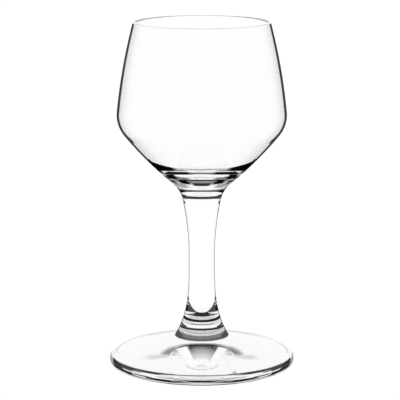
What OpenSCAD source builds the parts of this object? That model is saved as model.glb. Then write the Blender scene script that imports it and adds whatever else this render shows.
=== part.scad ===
// Small stemmed glass for neat spirits: a thin blown bowl, a waisted solid stem and a pressed round foot.
// The three pieces are fused to each other at two flat welds. The table is at z = 0 and the axis is Z.

/* [Bowl] */
// Outer diameter at the rim
mouth_d = 41; // [38:0.2:44]
// Outer diameter at the widest part of the bowl
belly_d = 50.8; // [48:0.2:54]
// Height of the bowl from its weld to the rim
bowl_h = 53.7; // [51:0.1:58]
// Height of the widest part above the weld
belly_h = 25.9; // [24:0.1:28]
// Radius of the turn at the widest part
belly_round = 9.3; // [7:0.1:12]
// Radius of the slight bow of the wall above the belly
upper_bow = 170; // [130:5:300]
// Radius of the slight bow of the cone below the belly
lower_bow = 110; // [80:5:200]
// Radius of the hollow curve that leads the cone into the stem
neck_round = 9.4; // [8:0.1:11]
// Thickness of the blown wall
wall_t = 0.95; // [0.7:0.05:1.3]
// Solid glass between the weld and the floor of the bowl
floor_t = 6.6; // [5.6:0.1:7.6]

/* [Stem] */
// Length of the stem between its two welds
stem_h = 41.7; // [30:0.1:60]
// Diameter where the stem is fused to the bowl
top_d = 11.4; // [10.6:0.1:12.4]
// Diameter at the waist
waist_d = 7.8; // [6:0.1:9]
// Height of the waist above the lower weld
waist_h = 24.3; // [18:0.1:27]
// Diameter where the stem is fused to the foot
base_d = 16.2; // [13:0.1:20]
// How suddenly the stem spreads towards the foot
flare_power = 3.4; // [2.5:0.1:5]

/* [Foot] */
// Diameter of the foot
foot_d = 56; // [48:0.5:66]
// Height of the foot at the weld
foot_h = 8.6; // [6.5:0.1:11]
// Height of the outer edge
edge_h = 3.2; // [3:0.1:4]
// Radius of both rounded corners of the edge
edge_round = 1.4; // [0.8:0.1:1.5]
// Radius of the hollow corner between the stem and the foot
weld_round = 0.8; // [0.4:0.1:1.6]
// Depth of the shallow hollow under the foot
hollow_h = 0.5; // [0.3:0.1:1.2]
// Width of the flat ring that the glass stands on
ring_w = 3; // [2:0.5:6]

/* [Hidden] */
$fn = 128;
// Straight pieces in each arc, and in the outline of the stem
arc_steps = 12;
stem_steps = 48;
glass_tint = "aliceblue";
glass_alpha = 0.4;

top_r = top_d/2;
waist_r = waist_d/2;
base_r = base_d/2;
foot_r = foot_d/2;
waist_z = foot_h + waist_h;
weld_z = foot_h + stem_h;
rim_z = weld_z + bowl_h;

// Direction from the first point to the second, and the distance between them
function heading(from, to) = atan2(to.y - from.y, to.x - from.x);
function polar(centre, radius, angle) = centre + radius*[cos(angle), sin(angle)];
// An arc without its last point, which is the first point of what follows
function arc(centre, radius, from, to) =
    [for (i = [0 : arc_steps - 1]) polar(centre, radius, from + (to - from)*i/arc_steps)];

// Radius of the stem at a height: a parabola above the waist and a steeper flare below it
function stem_r(z) = z > waist_z
    ? waist_r + (top_r - waist_r)*pow((z - waist_z)/(weld_z - waist_z), 2)
    : waist_r + (base_r - waist_r)*pow((waist_z - z)/waist_h, flare_power);
// Lean of the stem's outline from the vertical at its two welds
top_lean = atan(2*(top_r - waist_r)/(weld_z - waist_z));
base_lean = atan(flare_power*(base_r - waist_r)/waist_h);

// Belly arc, and the lip at the end of the wall
belly_c = [belly_d/2 - belly_round, weld_z + belly_h];
lip_r = wall_t/2;
lip_c = [mouth_d/2 - lip_r, rim_z - lip_r];

// Upper wall: an arc that runs smoothly out of the belly arc and ends at the lip
upper_gap = upper_bow - belly_round;
to_lip = lip_c - belly_c;
upper_share = (pow(upper_bow - lip_r, 2) - pow(upper_gap, 2) - to_lip*to_lip)/(2*upper_gap);
upper_a = heading(belly_c, lip_c) - acos(upper_share/norm(to_lip));
upper_c = polar(belly_c, -upper_gap, upper_a);
lip_a = heading(upper_c, lip_c);

// Neck: a hollow arc that carries on the lean of the stem
neck_c = [top_r + neck_round*cos(top_lean), weld_z - neck_round*sin(top_lean)];

// Lower cone: an arc that runs smoothly out of the belly arc and into the neck
lower_gap = lower_bow - belly_round;
neck_gap = lower_bow + neck_round;
to_neck = neck_c - belly_c;
along = (pow(lower_gap, 2) - pow(neck_gap, 2) + to_neck*to_neck)/(2*norm(to_neck));
across = sqrt(pow(lower_gap, 2) - pow(along, 2));
down = to_neck/norm(to_neck);
lower_c = belly_c + along*down - across*[-down.y, down.x];
belly_a = heading(lower_c, belly_c);
neck_a = heading(lower_c, neck_c);

// Floor of the bowl: a round cap on the axis that runs smoothly into the inner wall of the cone
floor_z = weld_z + floor_t;
inner_bow = lower_bow - wall_t;
floor_drop = lower_c.y - floor_z;
floor_r = (pow(inner_bow, 2) - pow(lower_c.x, 2) - pow(floor_drop, 2))/(2*(inner_bow - floor_drop));
floor_c = [0, floor_z + floor_r];
floor_a = heading(lower_c, floor_c);

// Foot: the sloping top is the straight line that touches the edge's upper corner and the hollow weld corner
edge_c = [foot_r - edge_round, edge_h - edge_round];
corner_c = polar([base_r, foot_h], weld_round, base_lean);
slope_a = heading(edge_c, corner_c) - acos((edge_round + weld_round)/norm(corner_c - edge_c));
// Hollow under the foot: a shallow dome inside the ring
hollow_r = foot_r - edge_round - ring_w;
dome_r = (pow(hollow_r, 2) + pow(hollow_h, 2))/(2*hollow_h);
dome_c = [0, hollow_h - dome_r];

module turned(outline) {
    color(glass_tint, glass_alpha) rotate_extrude() polygon(outline);
}

module foot() {
    turned(concat(
        arc(dome_c, dome_r, 90, acos(hollow_r/dome_r)),
        [[hollow_r, 0]],
        arc([edge_c.x, edge_round], edge_round, -90, 0),
        [[foot_r, edge_round]],
        arc(edge_c, edge_round, 0, slope_a),
        [polar(edge_c, edge_round, slope_a)],
        arc(corner_c, weld_round, 180 + slope_a, 180 + base_lean),
        [[base_r, foot_h], [0, foot_h]]
    ));
}

module stem() {
    turned(concat(
        [[0, foot_h]],
        [for (i = [0 : stem_steps]) let (z = foot_h + stem_h*i/stem_steps) [stem_r(z), z]],
        [[0, weld_z]]
    ));
}

module bowl() {
    turned(concat(
        arc(floor_c, floor_r, -90, floor_a),
        arc(lower_c, inner_bow, floor_a, belly_a),
        arc(belly_c, belly_round - wall_t, belly_a, upper_a),
        arc(upper_c, upper_bow - wall_t, upper_a, lip_a),
        arc(lip_c, lip_r, lip_a + 180, lip_a),
        arc(upper_c, upper_bow, lip_a, upper_a),
        arc(belly_c, belly_round, upper_a, belly_a),
        arc(lower_c, lower_bow, belly_a, neck_a),
        arc(neck_c, neck_round, 180 + neck_a, 180 - top_lean),
        [[top_r, weld_z], [0, weld_z]]
    ));
}

foot();
stem();
bowl();
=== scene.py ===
from math import acos, atan, atan2, cos, pi, radians, sin, sqrt

import bmesh
import bpy
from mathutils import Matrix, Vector


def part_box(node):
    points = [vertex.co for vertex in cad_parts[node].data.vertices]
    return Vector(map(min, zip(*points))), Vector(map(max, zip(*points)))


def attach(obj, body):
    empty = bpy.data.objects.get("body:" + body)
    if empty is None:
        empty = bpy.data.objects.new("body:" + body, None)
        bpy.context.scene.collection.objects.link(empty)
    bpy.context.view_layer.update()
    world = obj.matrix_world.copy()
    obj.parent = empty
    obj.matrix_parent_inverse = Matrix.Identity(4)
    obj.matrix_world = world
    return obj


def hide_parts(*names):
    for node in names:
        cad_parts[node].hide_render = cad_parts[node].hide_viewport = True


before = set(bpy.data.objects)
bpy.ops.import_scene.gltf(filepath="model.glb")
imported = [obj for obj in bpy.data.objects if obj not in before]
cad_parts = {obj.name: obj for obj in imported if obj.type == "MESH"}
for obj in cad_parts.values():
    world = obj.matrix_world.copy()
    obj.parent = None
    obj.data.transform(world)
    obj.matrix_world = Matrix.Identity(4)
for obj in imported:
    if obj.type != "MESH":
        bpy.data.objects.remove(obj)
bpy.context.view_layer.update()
mm = 0.001
print("frame loaded:", ", ".join(sorted(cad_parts)))

# heights and radii that the three glass pieces share, read from the frame
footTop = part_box("foot")[1].z
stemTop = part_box("stem")[1].z
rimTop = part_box("bowl")[1].z
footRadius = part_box("foot")[1].x
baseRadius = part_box("stem")[1].x
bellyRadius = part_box("bowl")[1].x

# camera: measured from the ellipses of the rim and the foot
cameraSet = {"away": 569 * mm, "height": 159.2 * mm, "pitch": radians(10.84), "focalPx": 1925,
             "imagePx": 400, "axisPx": 201.8, "sensor": 36, "near": 0.01, "far": 10}


def makeCamera(values):
    data = bpy.data.cameras.new("photoCamera")
    data.sensor_width = values["sensor"]
    data.lens = values["sensor"] * values["focalPx"] / values["imagePx"]
    data.shift_x = 0.5 - values["axisPx"] / values["imagePx"]
    data.clip_start = values["near"]
    data.clip_end = values["far"]
    camera = bpy.data.objects.new("photoCamera", data)
    camera.location = (0, -values["away"], values["height"])
    camera.rotation_euler = (pi / 2 - values["pitch"], 0, 0)
    bpy.context.scene.collection.objects.link(camera)
    bpy.context.scene.camera = camera


makeCamera(cameraSet)
print("camera set")

# studio: white all around, with one dark gap behind the glass that is seen only through the glass
# gap: elevation in degrees and brightness; its middle and its fading edge as shares of a sideways direction
lightSet = {"gap": ((36, 1), (41, 0.02), (45.5, 0.02), (48, 0.27), (53.5, 0.62), (57, 0.72), (60, 1)),
            "gapMiddle": -0.025, "gapEdge": 0.27, "gapEnd": 0.345, "light": 1.02, "bounces": 32}
floorSet = {"radius": 420 * mm, "drop": 0.1 * mm, "segments": 128, "light": 1.02, "mottle": 0.004,
            "scale": 35}
noiseRange = (0.3, 0.7)  # where most of a noise lies


def mathNode(tree, operation, *values):
    node = tree.nodes.new("ShaderNodeMath")
    node.operation = operation
    for socket, value in zip(node.inputs, values):
        if isinstance(value, (int, float)):
            socket.default_value = value
        else:
            tree.links.new(value, socket)
    return node.outputs[0]


def spreadNode(tree, value, start, end, near, far, smooth="SMOOTHSTEP"):
    node = tree.nodes.new("ShaderNodeMapRange")
    node.interpolation_type = smooth
    tree.links.new(value, node.inputs["Value"])
    for name, number in (("From Min", start), ("From Max", end), ("To Min", near), ("To Max", far)):
        node.inputs[name].default_value = number
    return node.outputs["Result"]


def rampNode(tree, value, stops):
    first, last = stops[0][0], stops[-1][0]
    share = spreadNode(tree, value, first, last, 0, 1, "LINEAR")
    ramp = tree.nodes.new("ShaderNodeValToRGB")
    tree.links.new(share, ramp.inputs[0])
    while len(ramp.color_ramp.elements) < len(stops):
        ramp.color_ramp.elements.new(1)
    for stop, (place, bright) in zip(ramp.color_ramp.elements, stops):
        stop.position = (place - first) / (last - first)
        stop.color = (bright, bright, bright, 1)
    return ramp.outputs["Color"]


def noiseNode(tree, vector, scale, detail=2):
    node = tree.nodes.new("ShaderNodeTexNoise")
    tree.links.new(vector, node.inputs["Vector"])
    node.inputs["Scale"].default_value = scale
    node.inputs["Detail"].default_value = detail
    return node.outputs[0]


def makeStudio(values):
    world = bpy.data.worlds.new("studio")
    bpy.context.scene.world = world
    world.use_nodes = True
    tree = world.node_tree
    tree.nodes.clear()
    coords = tree.nodes.new("ShaderNodeTexCoord")
    split = tree.nodes.new("ShaderNodeSeparateXYZ")
    tree.links.new(coords.outputs["Generated"], split.inputs[0])
    up = mathNode(tree, "DEGREES", mathNode(tree, "ARCSINE", split.outputs["Z"]))
    gap = rampNode(tree, up, values["gap"])
    front = mathNode(tree, "MINIMUM", split.outputs["Y"], 0)
    across = mathNode(tree, "SUBTRACT", split.outputs["X"], values["gapMiddle"])
    aside = mathNode(tree, "SUBTRACT", mathNode(tree, "ABSOLUTE", across), front)
    beside = spreadNode(tree, aside, values["gapEdge"], values["gapEnd"], 0, 1)
    lit = mathNode(tree, "MAXIMUM", gap, beside)
    level = mathNode(tree, "MULTIPLY", lit, values["light"])
    path = tree.nodes.new("ShaderNodeLightPath")
    bare = mathNode(tree, "SUBTRACT", 1, path.outputs["Is Transmission Ray"])
    shown = mathNode(tree, "MAXIMUM", bare, level)
    background = tree.nodes.new("ShaderNodeBackground")
    background.inputs["Color"].default_value = (1, 1, 1, 1)
    tree.links.new(shown, background.inputs["Strength"])
    output = tree.nodes.new("ShaderNodeOutputWorld")
    tree.links.new(background.outputs[0], output.inputs["Surface"])


def makeFloor(values):
    bm = bmesh.new()
    bmesh.ops.create_circle(bm, cap_ends=True, segments=values["segments"], radius=values["radius"])
    bmesh.ops.translate(bm, verts=bm.verts[:], vec=(0, 0, -values["drop"]))
    mesh = bpy.data.meshes.new("table")
    bm.to_mesh(mesh)
    bm.free()
    floor = bpy.data.objects.new("table", mesh)
    bpy.context.scene.collection.objects.link(floor)
    material = bpy.data.materials.new("litTable")
    material.use_nodes = True
    tree = material.node_tree
    tree.nodes.clear()
    coords = tree.nodes.new("ShaderNodeTexCoord")
    mottle = noiseNode(tree, coords.outputs["Object"], values["scale"])
    glow = tree.nodes.new("ShaderNodeEmission")
    bright = spreadNode(tree, mottle, *noiseRange, values["light"] - values["mottle"], values["light"])
    tree.links.new(bright, glow.inputs["Strength"])
    output = tree.nodes.new("ShaderNodeOutputMaterial")
    tree.links.new(glow.outputs[0], output.inputs["Surface"])
    mesh.materials.append(material)


makeStudio(lightSet)
makeFloor(floorSet)
bpy.context.scene.view_settings.view_transform = "Standard"
lightPaths = bpy.context.scene.cycles
lightPaths.max_bounces = lightSet["bounces"]
lightPaths.transmission_bounces = lightSet["bounces"]
lightPaths.glossy_bounces = lightSet["bounces"]
lightPaths.transparent_max_bounces = lightSet["bounces"]
print("studio light and table made")

# clear glass: what the pieces share
# cover: painted shade from which the glass isn't seen through; patchy: noise where the polish is a little
# dull
# outline: painted dark edge, how dark the surface is by how far it turns away from the eye, 0 to 1; the last
# number brightens the lip's painted pale veil
glassSet = {"ior": 1.52, "cover": 0.7, "patchy": (0.55, 0.8), "lipPaintedLight": 1.6,
            "outline": ((0, 0), (0.43, 0), (0.51, 0.025), (0.58, 0.07), (0.635, 0.145), (0.67, 0.18),
                        (0.71, 0.22), (0.75, 0.29), (0.775, 0.95), (1, 0.97))}


def ownValue(tree, name):
    node = tree.nodes.new("ShaderNodeAttribute")
    node.attribute_name = name
    return node.outputs["Fac"]


# one band of painted shade: its lower and upper edge in mm, how far each edge climbs as the glass turns from
# the eye, the first and last turn that shows it, and how softly it ends; one below 0 clears painted shade
# that stands before it
def bandNode(tree, height, turned, low, high, dark, climb=(0, 0), turn=(0, 1), fade=0.05, soft=0.12):
    overLow = mathNode(tree, "MULTIPLY_ADD", turned, -climb[0], height)
    overHigh = mathNode(tree, "MULTIPLY_ADD", turned, -climb[1], height)
    share = spreadNode(tree, overLow, low - soft, low + soft, 0, dark)
    below = spreadNode(tree, overHigh, high - soft, high + soft, 1, 0)
    share = mathNode(tree, "MULTIPLY", share, below)
    if turn[0] > 0:
        begun = spreadNode(tree, turned, turn[0] - fade, turn[0] + fade, 0, 1)
        share = mathNode(tree, "MULTIPLY", share, begun)
    if turn[1] < 1:
        ended = spreadNode(tree, turned, turn[1] - fade, turn[1] + fade, 1, 0)
        share = mathNode(tree, "MULTIPLY", share, ended)
    return share


def makeGlass(name, values):
    material = bpy.data.materials.new(name)
    material.use_nodes = True
    tree = material.node_tree
    shader = tree.nodes["Principled BSDF"]
    shader.inputs["IOR"].default_value = glassSet["ior"]
    shader.inputs["Transmission Weight"].default_value = 1
    shader.inputs["Specular Tint"].default_value = values["gloss"]
    place = tree.nodes.new("ShaderNodeTexCoord").outputs["Object"]
    # slight unevenness of the tint, the polish and the surface
    stretch = tree.nodes.new("ShaderNodeVectorMath")
    stretch.operation = "MULTIPLY"
    stretch.inputs[1].default_value = values["stretch"]
    tree.links.new(place, stretch.inputs[0])
    ripple = noiseNode(tree, stretch.outputs[0], values["rippleScale"], 1)
    tint = tree.nodes.new("ShaderNodeMix")
    tint.data_type = "RGBA"
    tree.links.new(ripple, tint.inputs["Factor"])
    tint.inputs["A"].default_value = values["tint"]
    tint.inputs["B"].default_value = values["tintB"]
    tree.links.new(tint.outputs["Result"], shader.inputs["Base Color"])
    dull = spreadNode(tree, ripple, *glassSet["patchy"], 0, values["dull"])
    tree.links.new(dull, shader.inputs["Roughness"])
    bump = tree.nodes.new("ShaderNodeBump")
    bump.inputs["Distance"].default_value = values["ripple"]
    tree.links.new(ripple, bump.inputs["Height"])
    tree.links.new(bump.outputs[0], shader.inputs["Normal"])
    # painted shade: a dark outline and dark bands standing in for what thick glass shows by refraction, by
    # height in mm and by turn from the eye
    split = tree.nodes.new("ShaderNodeSeparateXYZ")
    tree.links.new(place, split.inputs[0])
    height = mathNode(tree, "DIVIDE", split.outputs["Z"], mm)
    turned = tree.nodes.new("ShaderNodeLayerWeight").outputs["Facing"]
    dark = mathNode(tree, "MULTIPLY", rampNode(tree, turned, glassSet["outline"]), values["outline"])
    for band in values["bands"]:
        share = bandNode(tree, height, turned, **band)
        if band["dark"] > 0:
            dark = mathNode(tree, "MAXIMUM", dark, share)
        else:
            dark = mathNode(tree, "MULTIPLY", dark, mathNode(tree, "ADD", share, 1))
    # the painted outline and bands show from outside only
    inside = tree.nodes.new("ShaderNodeNewGeometry").outputs["Backfacing"]
    outside = mathNode(tree, "SUBTRACT", ownValue(tree, "outside"), inside)
    dark = mathNode(tree, "MULTIPLY", dark, mathNode(tree, "MAXIMUM", outside, 0))
    # weak painted shade is a thin veil over the clear glass, strong painted shade covers it
    veil = mathNode(tree, "MINIMUM", mathNode(tree, "DIVIDE", dark, glassSet["cover"]), 1)
    shade = mathNode(tree, "SUBTRACT", 1, mathNode(tree, "MAXIMUM", dark, glassSet["cover"]))
    # the inner bands paint shade where light inside the glass meets its skin
    for band in values["innerBands"]:
        inner = mathNode(tree, "MULTIPLY", bandNode(tree, height, turned, **band), inside)
        veil = mathNode(tree, "MAXIMUM", veil, inner)
    shade = mathNode(tree, "MULTIPLY", shade, mathNode(tree, "SUBTRACT", 1, inside))
    # painted light: a pale diffuse veil over the melted lip lifts its dark lines
    if "lip" in values:  # the melted lip is paler
        lip = bandNode(tree, height, turned, **values["lip"])
        veil = mathNode(tree, "MAXIMUM", veil, lip)
        shade = mathNode(tree, "MAXIMUM", shade, mathNode(tree, "MULTIPLY", lip, glassSet["lipPaintedLight"]))
    shaded = tree.nodes.new("ShaderNodeBsdfDiffuse")
    tree.links.new(shade, shaded.inputs["Color"])
    mix = tree.nodes.new("ShaderNodeMixShader")
    tree.links.new(veil, mix.inputs["Fac"])
    tree.links.new(shader.outputs[0], mix.inputs[1])
    tree.links.new(shaded.outputs[0], mix.inputs[2])
    tree.links.new(mix.outputs[0], tree.nodes["Material Output"].inputs["Surface"])
    return material


# the welds are melted through, so their faces don't show
weldSet = {"alpha": 0, "dull": (0.02, 0.06), "scale": 300, "ripple": 0.004 * mm}


def makeWeld(values):
    material = bpy.data.materials.new("meltedWeld")
    material.use_nodes = True
    tree = material.node_tree
    shader = tree.nodes["Principled BSDF"]
    shader.inputs["Alpha"].default_value = values["alpha"]
    place = tree.nodes.new("ShaderNodeTexCoord").outputs["Object"]
    ripple = noiseNode(tree, place, values["scale"])
    tree.links.new(spreadNode(tree, ripple, *noiseRange, *values["dull"]), shader.inputs["Roughness"])
    bump = tree.nodes.new("ShaderNodeBump")
    bump.inputs["Distance"].default_value = values["ripple"]
    tree.links.new(ripple, bump.inputs["Height"])
    tree.links.new(bump.outputs[0], shader.inputs["Normal"])
    return material


weld = makeWeld(weldSet)

# turning: steps in each quarter turn, and how merged, flat, near a weld, smooth and outward are told
turnSet = {"steps": 64, "merge": 0.0001 * mm, "flat": 0.999, "near": 0.001 * mm, "smooth": radians(15),
           "outward": 0.15}


def polar(centre, radius, angle):
    return centre + radius * Vector((cos(angle), sin(angle)))


def heading(start, end):
    return atan2(end.y - start.y, end.x - start.x)


def startOutline(radius, height):
    bm = bmesh.new()
    return bm, bm.verts.new((radius, 0, height))


def lineTo(bm, tip, radius, height):
    tip = bmesh.ops.extrude_vert_indiv(bm, verts=[tip])["verts"][0]
    tip.co = (radius, 0, height)
    return tip


def arcTo(bm, tip, centre, turn, steps):
    made = bmesh.ops.spin(bm, geom=[tip], cent=(centre.x, 0, centre.y), axis=(0, -1, 0), angle=turn,
                          steps=steps)
    return [part for part in made["geom_last"] if isinstance(part, bmesh.types.BMVert)][0]


def turnPiece(name, bm, values, weldHeights):
    bmesh.ops.spin(bm, geom=bm.verts[:] + bm.edges[:], cent=(0, 0, 0), axis=(0, 0, 1), angle=pi / 2,
                   steps=turnSet["steps"])
    bmesh.ops.spin(bm, geom=bm.verts[:] + bm.edges[:] + bm.faces[:], cent=(0, 0, 0), axis=(0, 0, 1),
                   angle=3 * pi / 2, steps=3, use_duplicate=True)
    bmesh.ops.remove_doubles(bm, verts=bm.verts[:], dist=turnSet["merge"])
    bmesh.ops.recalc_face_normals(bm, faces=bm.faces[:])
    for face in bm.faces:
        face.smooth = True
        level = face.calc_center_median().z
        fromWeld = min(abs(level - height) for height in weldHeights)
        if abs(face.normal.z) > turnSet["flat"] and fromWeld < turnSet["near"]:
            face.material_index = 1
    for edge in bm.edges:
        sides = edge.link_faces
        sameGlass = sides[0].material_index == sides[-1].material_index
        edge.smooth = sameGlass and edge.calc_face_angle(0) < turnSet["smooth"]
    outside = bm.verts.layers.float.new("outside")
    bm.normal_update()
    for vert in bm.verts:
        aside = Vector((vert.co.x, vert.co.y, 0))
        vert[outside] = vert.normal.dot(aside.normalized()) > turnSet["outward"]
    mesh = bpy.data.meshes.new(name)
    bm.to_mesh(mesh)
    bm.free()
    mesh.materials.append(makeGlass(name + "Glass", values))
    mesh.materials.append(weld)
    piece = bpy.data.objects.new(name, mesh)
    bpy.context.scene.collection.objects.link(piece)
    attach(piece, "root")
    print(name, "turned:", len(mesh.polygons), "faces")
    return piece


# stem: a parabola above the waist and a steeper flare below it
# painted shade in the stem, standing in for the refraction of its thick glass
stemPaintedBands = (
    # painted dark horns beside the clear bow, with cuts that clear the painted shade, and the bottom of the
    # bow
    dict(low=16.6, high=16.65, climb=(-0.5, 6.2), turn=(0.06, 0.8), dark=0.92),
    dict(low=16.6, high=16.4, climb=(-0.5, 2.8), turn=(0.42, 0.8), dark=0.987),
    dict(low=18.7, high=19.2, turn=(0.5, 0.9), dark=0.9),
    dict(low=19.55, high=20.7, turn=(0.55, 0.95), dark=0.85),
    dict(low=19.2, high=19.5, turn=(0.3, 1), dark=-0.85, soft=0.08),
    dict(low=18.35, high=18.65, turn=(0.45, 1), dark=-0.65, soft=0.08),
    dict(low=15.4, high=16.62, climb=(0, 4), turn=(0, 0.085), dark=0.97, fade=0.02),
    # painted dark ring at the corner under the bowl
    dict(low=49.55, high=50.4, turn=(0.58, 1), dark=0.94, fade=0.04),
    # painted dark rings from the bow down to the weld
    dict(low=15.45, high=16.5, climb=(-0.2, -1.2), turn=(0, 0.15), dark=0.945),
    dict(low=15.5, high=16.3, climb=(-0.2, -1.2), turn=(0.1, 0.7), dark=0.86),
    dict(low=14.4, high=15.3, turn=(0, 0.3), fade=0.1, dark=0.32),
    dict(low=13.75, high=14.5, climb=(0.3, 0.6), dark=0.985),
    dict(low=13.95, high=14.3, climb=(0.2, 0.6), turn=(0.5, 0.9), dark=0.987),
    dict(low=13, high=13.3, turn=(0, 0.17), dark=0.78, soft=0.08),
    dict(low=11.4, high=12.03, climb=(-0.2, 0), dark=0.96),
    dict(low=11.62, high=11.9, climb=(0.75, 1.3), turn=(0.28, 0.8), dark=0.96),
    # painted grey shade on the collar
    dict(low=10, high=11.3, dark=0.36),
    dict(low=8.4, high=9.95, climb=(0, 0.8), dark=0.78),
    dict(low=8.4, high=9.3, climb=(0, 0.8), dark=0.87, soft=0.4),
    dict(low=8.4, high=9.6, climb=(0, 1), turn=(0.3, 1), dark=0.91, soft=0.3),
)
stemPaintedInnerBands = (
    # painted shade on the inner side of the eye's wings, seen from inside the stem
    dict(low=8, high=10.2, turn=(0.31, 0.6), dark=0.3, fade=0.04, soft=0.5),  # inner side of the eye's wings
)
stemSet = {"topRadius": 5.7 * mm, "waistRadius": 3.9 * mm, "waistHeight": 24.3 * mm, "flarePower": 3.4,
           "steps": 96, "tint": (1, 1, 1, 1), "tintB": (0.99, 0.99, 1, 1), "stretch": (1, 1, 0.06),
           "rippleScale": 500, "ripple": 0.004 * mm, "dull": 0.004, "gloss": (1, 1, 1, 1), "outline": 1,
           "bands": stemPaintedBands, "innerBands": stemPaintedInnerBands}
waistLevel = footTop + stemSet["waistHeight"]
topLean = atan(2 * (stemSet["topRadius"] - stemSet["waistRadius"]) / (stemTop - waistLevel))
baseLean = atan(stemSet["flarePower"] * (baseRadius - stemSet["waistRadius"]) / stemSet["waistHeight"])


def stemRadius(height):
    waist = stemSet["waistRadius"]
    if height > waistLevel:
        share = (height - waistLevel) / (stemTop - waistLevel)
        return waist + (stemSet["topRadius"] - waist) * share ** 2
    share = (waistLevel - height) / stemSet["waistHeight"]
    return waist + (baseRadius - waist) * share ** stemSet["flarePower"]


def makeStem(values):
    bm, tip = startOutline(0, footTop)
    for step in range(values["steps"] + 1):
        height = footTop + (stemTop - footTop) * step / values["steps"]
        tip = lineTo(bm, tip, stemRadius(height), height)
    lineTo(bm, tip, 0, stemTop)
    piece = turnPiece("drawnStem", bm, values, (footTop, stemTop))
    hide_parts("stem")


makeStem(stemSet)

# foot: sloping top, rounded edge, flat ring and a shallow hollow underneath
# painted shade in the foot, standing in for the refraction of its thick glass
footPaintedBands = (
    # painted dark ends of the edge
    dict(low=2.2, high=3.12, climb=(0, -0.2), turn=(0.47, 0.685), dark=0.968, fade=0.02),
    dict(low=0.85, high=2.3, climb=(0.35, 0), turn=(0.47, 0.735), dark=0.968, fade=0.02),
    dict(low=0.9, high=2.75, turn=(0.68, 1), dark=0.62, fade=0.03),
    dict(low=2.15, high=3.1, turn=(0.32, 0.55), dark=0.93, fade=0.02),
    dict(low=0.9, high=1.88, turn=(0.37, 0.55), dark=0.98, fade=0.02),
    # painted dark lines that run from the ends to the front
    dict(low=1.42, high=2, turn=(0, 0.06), dark=0.995, fade=0.02, soft=0.04),
    dict(low=1.38, high=1.75, climb=(-1.7, 0), turn=(0.055, 0.1), dark=0.88, fade=0.015, soft=0.06),
    dict(low=1.38, high=1.72, climb=(-2, 0), turn=(0.09, 0.25), dark=0.985, fade=0.015, soft=0.08),
    dict(low=1.5, high=1.9, turn=(0.2, 0.36), dark=0.87, fade=0.02, soft=0.06),
    dict(low=0.95, high=1.28, turn=(0.24, 0.36), dark=0.75, fade=0.02, soft=0.06),
    dict(low=3.1, high=3.71, climb=(0, -1), turn=(0.477, 0.62), dark=0.97, fade=0.005, soft=0.05),
    dict(low=3.14, high=3.26, turn=(0.44, 0.475), dark=0.5, fade=0.01, soft=0.05),
    dict(low=3, high=3.14, turn=(0.3, 0.6), dark=0.42, fade=0.03, soft=0.05),
    dict(low=2.72, high=2.55, climb=(0, 1.45), turn=(0.2, 0.475), dark=0.965, fade=0.02, soft=0.05),
    dict(low=2.3, high=2.75, turn=(0.25, 0.42), dark=0.7, fade=0.025, soft=0.15),
    dict(low=1.95, high=2.5, turn=(0, 0.12), dark=0.38, fade=0.03),
    # painted shade along the bottom, where the foot stands on the table
    dict(low=-1, high=0.72, dark=0.97, turn=(0, 0.55), soft=0.06),
    dict(low=0.4, high=0.75, turn=(0.4, 1), dark=0.4),
    # painted second dark line inside the rim
    dict(low=1.43, high=1.57, climb=(2.5, 2.5), turn=(0.74, 0.93), dark=0.4, fade=0.03, soft=0.08),
    # painted dark ring at the foot of the collar
    dict(low=8.5, high=9, dark=0.9, soft=0.05),
    # painted thin dark line where the sloping top ends at the back
    dict(low=3.15, high=9, turn=(0.93, 1), dark=0.3, fade=0.06),
)
# painted shade seen from inside the foot: the dark arc of the eye, its two wings and their ends
footPaintedInnerBands = (
    dict(low=8.37, high=9, climb=(-1.8, 0), turn=(0, 0.2), dark=0.97, soft=0.08),
    dict(low=8.9, high=9, climb=(-4, 0), turn=(0.2, 0.35), dark=0.76, fade=0.04, soft=0.3),
    dict(low=6.4, high=8.1, turn=(0.345, 0.385), dark=0.3, fade=0.02, soft=0.5),
)
footSet = {"edgeHeight": 3.2 * mm, "edgeRound": 1.4 * mm, "weldRound": 0.8 * mm, "hollow": 0.5 * mm,
           "ring": 3 * mm, "steps": 24, "tint": (0.93, 0.93, 0.945, 1), "tintB": (0.92, 0.92, 0.935, 1),
           "stretch": (1, 1, 1), "rippleScale": 120, "ripple": 0.006 * mm, "dull": 0.004,
           "gloss": (0, 0, 0, 1), "outline": 0, "bands": footPaintedBands, "innerBands": footPaintedInnerBands}


def makeFoot(values):
    edgeRound = values["edgeRound"]
    steps = values["steps"]
    edgeCentre = Vector((footRadius - edgeRound, values["edgeHeight"] - edgeRound))
    cornerCentre = polar(Vector((baseRadius, footTop)), values["weldRound"], baseLean)
    reach = (cornerCentre - edgeCentre).length
    slope = heading(edgeCentre, cornerCentre) - acos((edgeRound + values["weldRound"]) / reach)
    hollowRadius = edgeCentre.x - values["ring"]
    domeRadius = (hollowRadius ** 2 + values["hollow"] ** 2) / (2 * values["hollow"])
    bm, tip = startOutline(0, values["hollow"])
    domeCentre = Vector((0, values["hollow"] - domeRadius))
    tip = arcTo(bm, tip, domeCentre, acos(hollowRadius / domeRadius) - pi / 2, steps)
    tip = lineTo(bm, tip, edgeCentre.x, 0)
    tip = arcTo(bm, tip, Vector((edgeCentre.x, edgeRound)), pi / 2, steps)
    tip = lineTo(bm, tip, footRadius, edgeCentre.y)
    tip = arcTo(bm, tip, edgeCentre, slope, steps)
    cornerStart = polar(cornerCentre, -values["weldRound"], slope)
    tip = lineTo(bm, tip, *cornerStart)
    tip = arcTo(bm, tip, cornerCentre, baseLean - slope, steps)
    lineTo(bm, tip, 0, footTop)
    piece = turnPiece("pressedFoot", bm, values, (footTop,))
    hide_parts("foot")


makeFoot(footSet)
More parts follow.
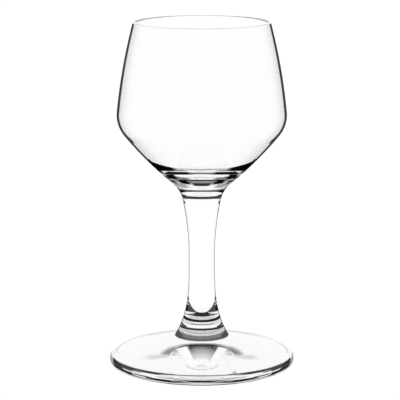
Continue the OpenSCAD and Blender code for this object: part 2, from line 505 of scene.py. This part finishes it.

# bowl: thin wall of smooth arcs, round lip, round floor over a solid base
# painted shade in the bowl, standing in for the refraction of its solid base and neck
bowlPaintedBands = (
    # painted black crescents over the solid base, and the painted thin line between them
    dict(low=63.38, high=60.42, climb=(-3.8, 4.1), turn=(0.5, 1), dark=0.998, fade=0.05, soft=0.1),
    dict(low=62, high=62.6, turn=(0, 0.5), dark=0.5),
    dict(low=61.55, high=62, turn=(0.46, 0.55), dark=0.8, fade=0.02),
    # painted dark streaks leaning below them
    dict(low=62.4, high=62.95, climb=(-3.8, -3.8), turn=(0, 0.5), dark=0.88),
    dict(low=62.2, high=62.9, climb=(-3.8, -3.3), turn=(0.452, 0.62), dark=0.997, fade=0.015),
    dict(low=62.2, high=66.5, climb=(-3.8, -9), turn=(0.6, 0.76), dark=0.995, fade=0.02),
    dict(low=59, high=63.05, climb=(-1.4, -5), turn=(0.59, 0.8), dark=0.995, fade=0.015),
    dict(low=58.95, high=59.4, turn=(0.555, 0.63), dark=0.97, fade=0.015),
    dict(low=57.7, high=59.3, turn=(0.49, 0.65), dark=0.78, fade=0.02),
    dict(low=59.3, high=59.6, turn=(0, 0.5), dark=0.45),
    # painted dark lens over the neck
    dict(low=57, high=60.1, climb=(0, -3.1), dark=0.72, turn=(0, 0.8)),
    dict(low=59.6, high=60.15, climb=(-3.1, -3.1), dark=0.97, turn=(0, 0.6)),
    dict(low=55.2, high=60.1, climb=(2.8, -3.1), turn=(0.517, 0.62), dark=0.998, fade=0.015),
    dict(low=57.2, high=57.75, turn=(0.5, 0.55), dark=0.985, fade=0.015),
    dict(low=56.25, high=57.4, turn=(0, 0.515), dark=0.97, fade=0.015),
    dict(low=56.1, high=57.6, turn=(0.7, 0.8), dark=0.985, fade=0.015),
    dict(low=55.2, high=56.9, turn=(0.56, 0.8), dark=0.6, fade=0.04),
    # the painted outline is lighter between the ends of the streaks
    dict(low=58.6, high=59.4, turn=(0.78, 1), dark=-0.5, fade=0.02),
    dict(low=57.2, high=57.6, turn=(0.8, 1), dark=-0.6, fade=0.02),
    dict(low=54.6, high=56.6, turn=(0.76, 1), dark=-0.4, fade=0.02),
    # the painted outline is thinner along the cone
    dict(low=64.3, high=69.1, turn=(0.76, 0.805), dark=-0.72, fade=0.012, soft=0.3),
    # painted dark rings around the neck
    dict(low=55.05, high=55.25, climb=(-2.75, -1.5), dark=0.95),
    dict(low=55, high=55.3, climb=(-2.75, -1.5), turn=(0.5, 1), dark=0.995),
    dict(low=51.75, high=52.55, climb=(-0.8, -0.4), dark=0.95),
    dict(low=51.2, high=52.6, turn=(0.47, 0.9), dark=0.95, fade=0.06),
    # painted dark ring at the corner at the weld
    dict(low=49.55, high=50.4, turn=(0.58, 1), dark=0.94, fade=0.04),
    # painted faint shade on the front of the lip
    dict(low=103.66, high=104.2, turn=(0, 0.6), dark=0.19, soft=0.05),
)
# lip: painted light, a pale veil over the top of the lip
bowlSet = {"mouthRadius": 20.5 * mm, "bellyHeight": 25.9 * mm, "bellyRound": 9.3 * mm, "upperBow": 170 * mm,
           "lowerBow": 110 * mm, "neckRound": 9.4 * mm, "wall": 0.95 * mm, "floor": 6.6 * mm, "steps": 24,
           "tint": (0.983, 0.983, 0.987, 1), "tintB": (0.979, 0.979, 0.985, 1), "stretch": (1, 1, 3),
           "rippleScale": 90, "ripple": 0.003 * mm, "dull": 0.003, "gloss": (1, 1, 1, 1), "outline": 1,
           "bands": bowlPaintedBands, "innerBands": (),
           "lip": dict(low=103.66, high=110, turn=(0.3, 1), dark=0.58, fade=0.25, soft=0.06)}


def makeBowl(values):
    wall = values["wall"]
    steps = values["steps"]
    upperBow, lowerBow = values["upperBow"], values["lowerBow"]
    bellyRound, neckRound = values["bellyRound"], values["neckRound"]
    bellyCentre = Vector((bellyRadius - bellyRound, stemTop + values["bellyHeight"]))
    lipCentre = Vector((values["mouthRadius"] - wall / 2, rimTop - wall / 2))
    # upper wall, smooth with the belly and ending at the lip
    gap = upperBow - bellyRound
    reach = (lipCentre - bellyCentre).length
    share = ((upperBow - wall / 2) ** 2 - gap ** 2 - reach ** 2) / (2 * gap)
    upperTurn = heading(bellyCentre, lipCentre) - acos(share / reach)
    upperCentre = polar(bellyCentre, -gap, upperTurn)
    lipTurn = heading(upperCentre, lipCentre)
    # lower cone, smooth with the belly and the hollow neck
    neckCentre = Vector((stemSet["topRadius"] + neckRound * cos(topLean),
                         stemTop - neckRound * sin(topLean)))
    toNeck = neckCentre - bellyCentre
    lowerGap = lowerBow - bellyRound
    neckGap = lowerBow + neckRound
    along = (lowerGap ** 2 - neckGap ** 2 + toNeck.length ** 2) / (2 * toNeck.length)
    across = sqrt(lowerGap ** 2 - along ** 2)
    down = toNeck.normalized()
    lowerCentre = bellyCentre + along * down + across * Vector((down.y, -down.x))
    bellyTurn = heading(lowerCentre, bellyCentre)
    neckTurn = heading(lowerCentre, neckCentre)
    # round floor on the axis, smooth with the inner wall of the cone
    floorLevel = stemTop + values["floor"]
    drop = lowerCentre.y - floorLevel
    innerBow = lowerBow - wall
    floorRadius = (innerBow ** 2 - lowerCentre.x ** 2 - drop ** 2) / (2 * (innerBow - drop))
    floorCentre = Vector((0, floorLevel + floorRadius))
    floorTurn = heading(lowerCentre, floorCentre)
    bm, tip = startOutline(0, floorLevel)
    tip = arcTo(bm, tip, floorCentre, floorTurn + pi / 2, 2 * steps)
    tip = arcTo(bm, tip, lowerCentre, bellyTurn - floorTurn, steps)
    tip = arcTo(bm, tip, bellyCentre, upperTurn - bellyTurn, 2 * steps)
    tip = arcTo(bm, tip, upperCentre, lipTurn - upperTurn, steps)
    tip = arcTo(bm, tip, lipCentre, -pi, steps)
    tip = arcTo(bm, tip, upperCentre, upperTurn - lipTurn, steps)
    tip = arcTo(bm, tip, bellyCentre, bellyTurn - upperTurn, 2 * steps)
    tip = arcTo(bm, tip, lowerCentre, neckTurn - bellyTurn, steps)
    tip = arcTo(bm, tip, neckCentre, -topLean - neckTurn, 2 * steps)
    lineTo(bm, tip, 0, stemTop)
    piece = turnPiece("blownBowl", bm, values, (stemTop,))
    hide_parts("bowl")


makeBowl(bowlSet)
